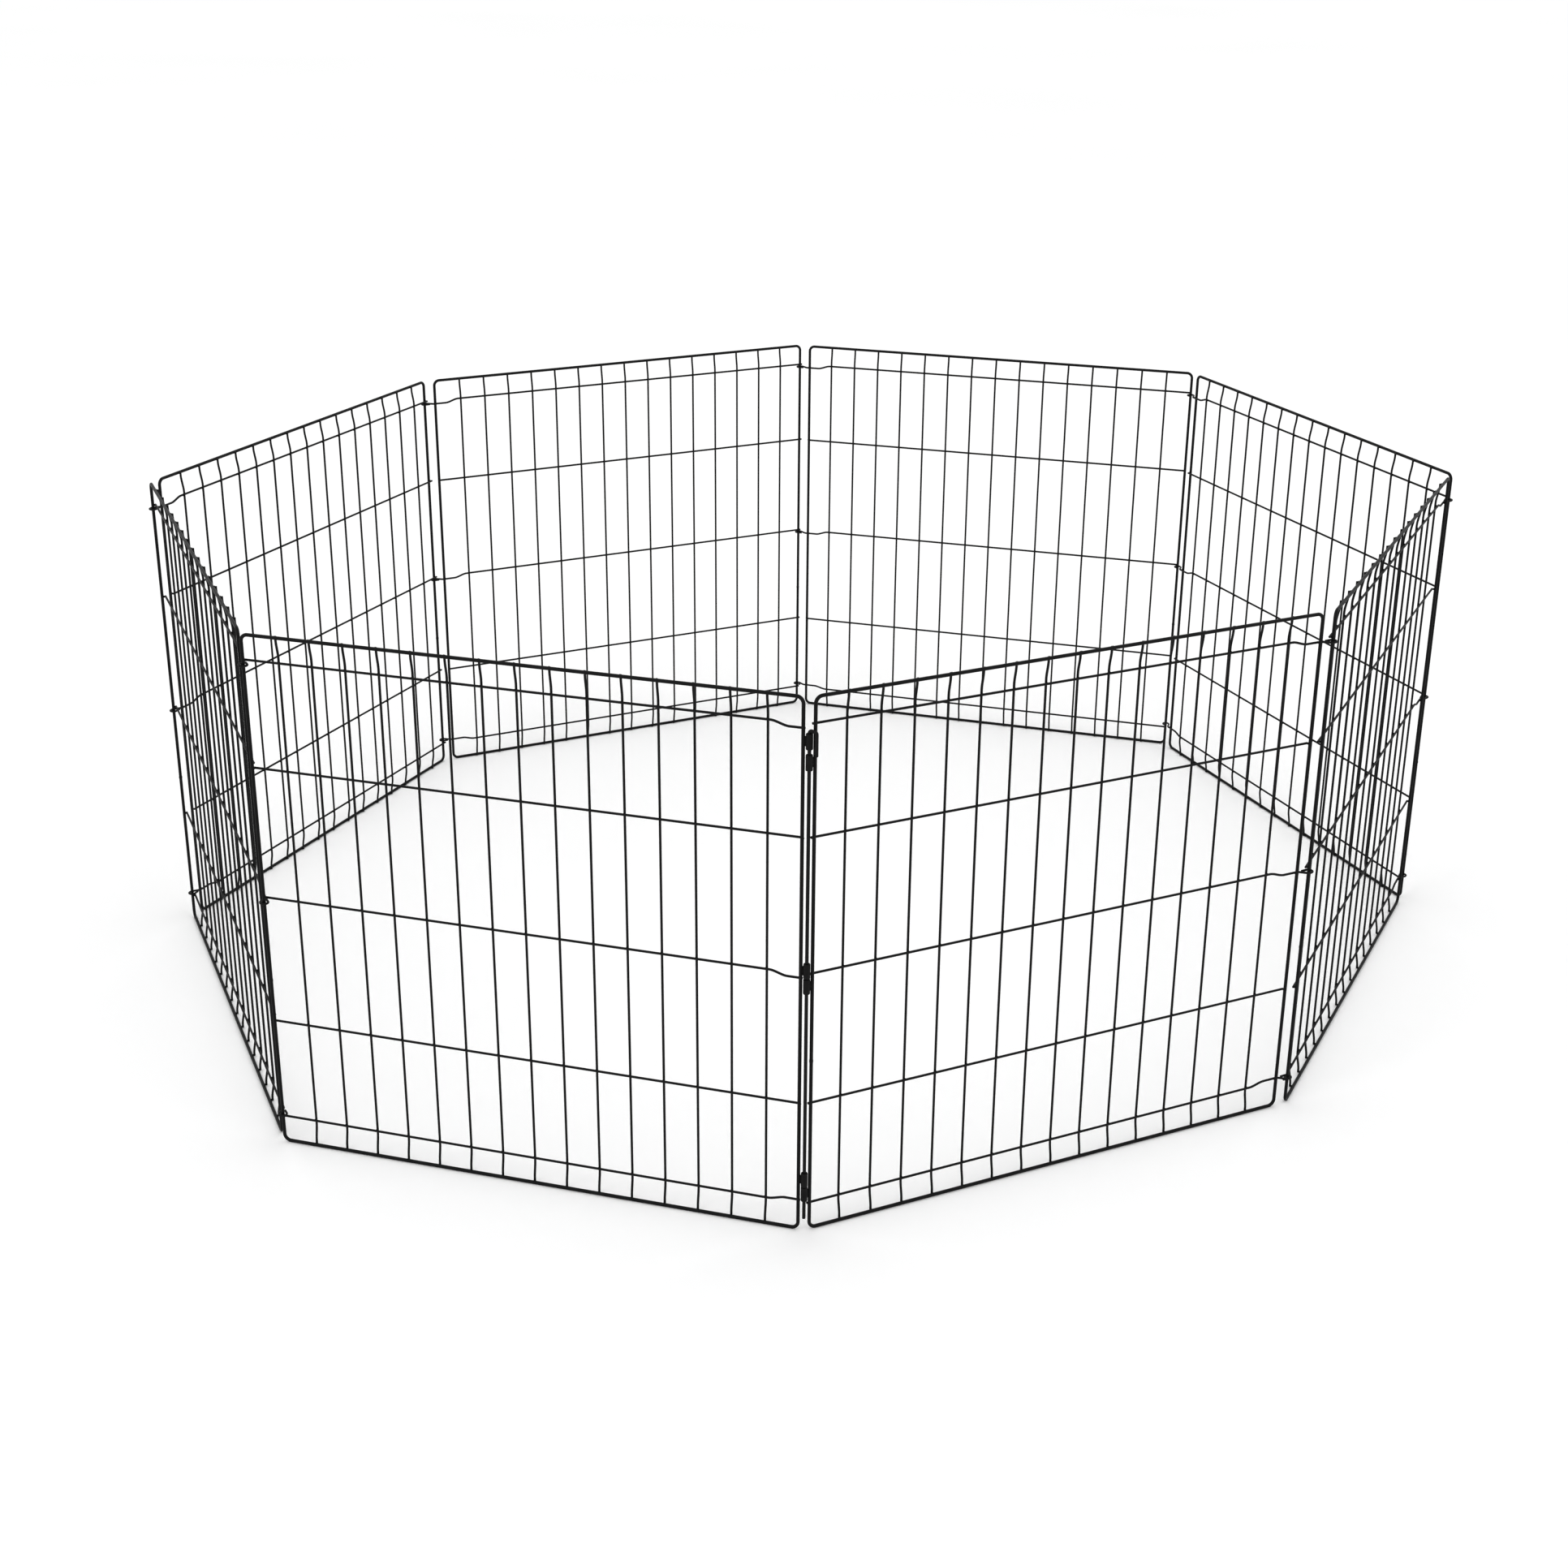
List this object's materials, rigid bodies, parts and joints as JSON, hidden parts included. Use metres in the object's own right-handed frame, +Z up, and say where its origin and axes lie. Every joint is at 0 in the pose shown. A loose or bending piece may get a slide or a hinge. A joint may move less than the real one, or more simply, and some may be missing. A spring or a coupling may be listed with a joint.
{
  "type": "pet playpen",
  "caption": "Folding pet playpen: a ring of welded wire panels hinged by hooked rails and closed at the front corner by a drop pin through barrels.",
  "frame": {"origin": "on the floor at the middle of the pen's outline", "axes": "+Z up, -Y towards the pinned corner, +X to the right seen from the pinned corner"},
  "size_m": [1.6762, 1.5884, 0.6096],
  "materials": {
    "frame_wire": "satin black coating on steel wire",
    "grid_wire": "satin black coating on thinner steel wire",
    "barrel": "satin black coating on short steel tubes",
    "pin": "satin black coating, a little glossier where it slides"
  },
  "bodies": {
    "back_left_panel": {"back_left_frame": "frame_wire", "back_left_uprights": "grid_wire", "back_left_lower_rail": "grid_wire", "back_left_hinge_rail_top": "grid_wire", "back_left_hinge_rail_middle": "grid_wire", "back_left_hinge_rail_bottom": "grid_wire"},
    "front_right_panel": {"front_right_frame": "frame_wire", "front_right_uprights": "grid_wire", "front_right_lower_rail": "grid_wire", "front_right_hinge_rail_top": "grid_wire", "front_right_hinge_rail_middle": "grid_wire", "front_right_hinge_rail_bottom": "grid_wire", "front_right_barrel_top": "barrel", "front_right_barrel_middle": "barrel", "front_right_barrel_bottom": "barrel"},
    "right_front_panel": {"right_front_frame": "frame_wire", "right_front_uprights": "grid_wire", "right_front_lower_rail": "grid_wire", "right_front_hinge_rail_top": "grid_wire", "right_front_hinge_rail_middle": "grid_wire", "right_front_hinge_rail_bottom": "grid_wire"},
    "right_back_panel": {"right_back_frame": "frame_wire", "right_back_uprights": "grid_wire", "right_back_lower_rail": "grid_wire", "right_back_hinge_rail_top": "grid_wire", "right_back_hinge_rail_middle": "grid_wire", "right_back_hinge_rail_bottom": "grid_wire"},
    "back_right_panel": {"back_right_frame": "frame_wire", "back_right_uprights": "grid_wire", "back_right_lower_rail": "grid_wire", "back_right_hinge_rail_top": "grid_wire", "back_right_hinge_rail_middle": "grid_wire", "back_right_hinge_rail_bottom": "grid_wire"},
    "left_back_panel": {"left_back_frame": "frame_wire", "left_back_uprights": "grid_wire", "left_back_lower_rail": "grid_wire", "left_back_hinge_rail_top": "grid_wire", "left_back_hinge_rail_middle": "grid_wire", "left_back_hinge_rail_bottom": "grid_wire"},
    "left_front_panel": {"left_front_frame": "frame_wire", "left_front_uprights": "grid_wire", "left_front_lower_rail": "grid_wire", "left_front_hinge_rail_top": "grid_wire", "left_front_hinge_rail_middle": "grid_wire", "left_front_hinge_rail_bottom": "grid_wire"},
    "front_left_panel": {"front_left_frame": "frame_wire", "front_left_uprights": "grid_wire", "front_left_lower_rail": "grid_wire", "front_left_pin_side_rail_top": "grid_wire", "front_left_pin_side_rail_middle": "grid_wire", "front_left_pin_side_rail_bottom": "grid_wire", "front_left_barrel_top": "barrel", "front_left_barrel_middle": "barrel", "front_left_barrel_bottom": "barrel"},
    "drop_pin": {"drop_pin": "pin"}
  },
  "joints": [
    {"name": "back_corner_hinge", "type": "hinge", "parent": "back_left_panel", "child": "back_right_panel", "pos_m": [0.05502, 0.789, 0.3048], "axis": [0, 0, -1], "range_deg": [-80, 48]},
    {"name": "right_back_corner_hinge", "type": "hinge", "parent": "back_right_panel", "child": "right_back_panel", "pos_m": [0.63533, 0.56454, 0.3048], "axis": [0, 0, -1], "range_deg": [-48, 80]},
    {"name": "right_corner_hinge", "type": "hinge", "parent": "right_back_panel", "child": "right_front_panel", "pos_m": [0.83275, -0.02551, 0.3048], "axis": [0, 0, -1], "range_deg": [-80, 48]},
    {"name": "front_right_corner_hinge", "type": "hinge", "parent": "right_front_panel", "child": "front_right_panel", "pos_m": [0.51696, -0.56161, 0.3048], "axis": [0, 0, -1], "range_deg": [-48, 80]},
    {"name": "left_back_corner_hinge", "type": "hinge", "parent": "back_left_panel", "child": "left_back_panel", "pos_m": [-0.52574, 0.56573, 0.3048], "axis": [0, 0, 1], "range_deg": [-48, 80]},
    {"name": "left_corner_hinge", "type": "hinge", "parent": "left_back_panel", "child": "left_front_panel", "pos_m": [-0.83276, 0.02456, 0.3048], "axis": [0, 0, 1], "range_deg": [-80, 48]},
    {"name": "front_left_corner_hinge", "type": "hinge", "parent": "left_front_panel", "child": "front_left_panel", "pos_m": [-0.64142, -0.56749, 0.3048], "axis": [0, 0, 1], "range_deg": [-48, 80]},
    {"name": "drop_pin_slide", "type": "slide", "parent": "front_right_panel", "child": "drop_pin", "axis": [0, 0, 1], "range_m": [0, 0.6]}
  ],
  "couplings": [
    {"joint": "right_back_corner_hinge", "follows": "back_corner_hinge", "ratio": -1},
    {"joint": "right_corner_hinge", "follows": "back_corner_hinge", "ratio": 1},
    {"joint": "front_right_corner_hinge", "follows": "back_corner_hinge", "ratio": -1},
    {"joint": "left_back_corner_hinge", "follows": "back_corner_hinge", "ratio": -1},
    {"joint": "left_corner_hinge", "follows": "back_corner_hinge", "ratio": 1},
    {"joint": "front_left_corner_hinge", "follows": "back_corner_hinge", "ratio": -1}
  ]
}
